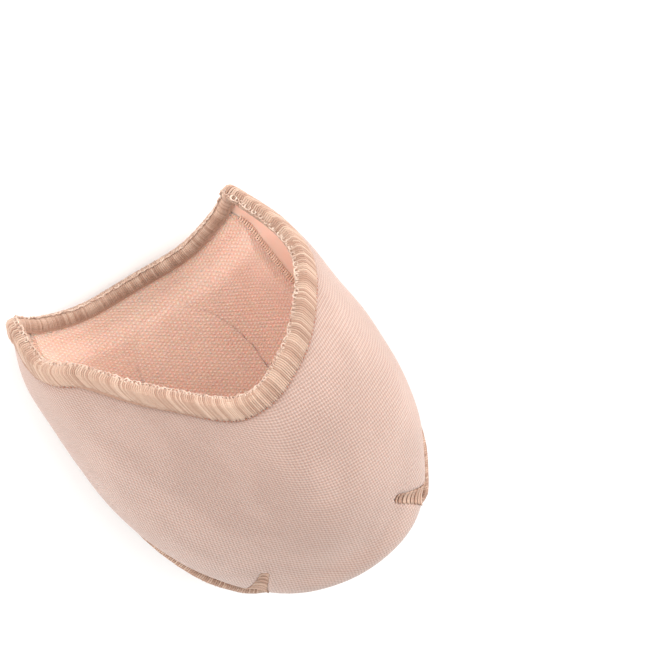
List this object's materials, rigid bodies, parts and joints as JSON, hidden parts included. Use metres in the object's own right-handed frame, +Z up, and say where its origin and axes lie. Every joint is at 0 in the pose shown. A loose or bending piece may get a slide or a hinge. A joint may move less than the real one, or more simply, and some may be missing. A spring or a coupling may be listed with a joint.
{
  "type": "gel toe pad",
  "caption": "Soft padded pouch pulled over the toes, with a scooped mouth between two ears, an overlocked side seam and two toe darts.",
  "frame": {"origin": "middle of the footprint, on the surface that the pad lies on", "axes": "+Z up, +Y along the pad towards the toe, +X across it"},
  "size_m": [0.0738, 0.1054, 0.0471],
  "materials": {
    "knit": "fine matt knit over gel, pinkish nude, with a peach dotted mesh lining inside",
    "thread": "dense beige overlock thread with a soft sheen"
  },
  "bodies": {
    "root": {"top_panel": "knit", "bottom_panel": "knit", "rim_binding": "thread", "seam_binding": "thread", "dart_left": "thread", "dart_right": "thread"}
  },
  "joints": []
}
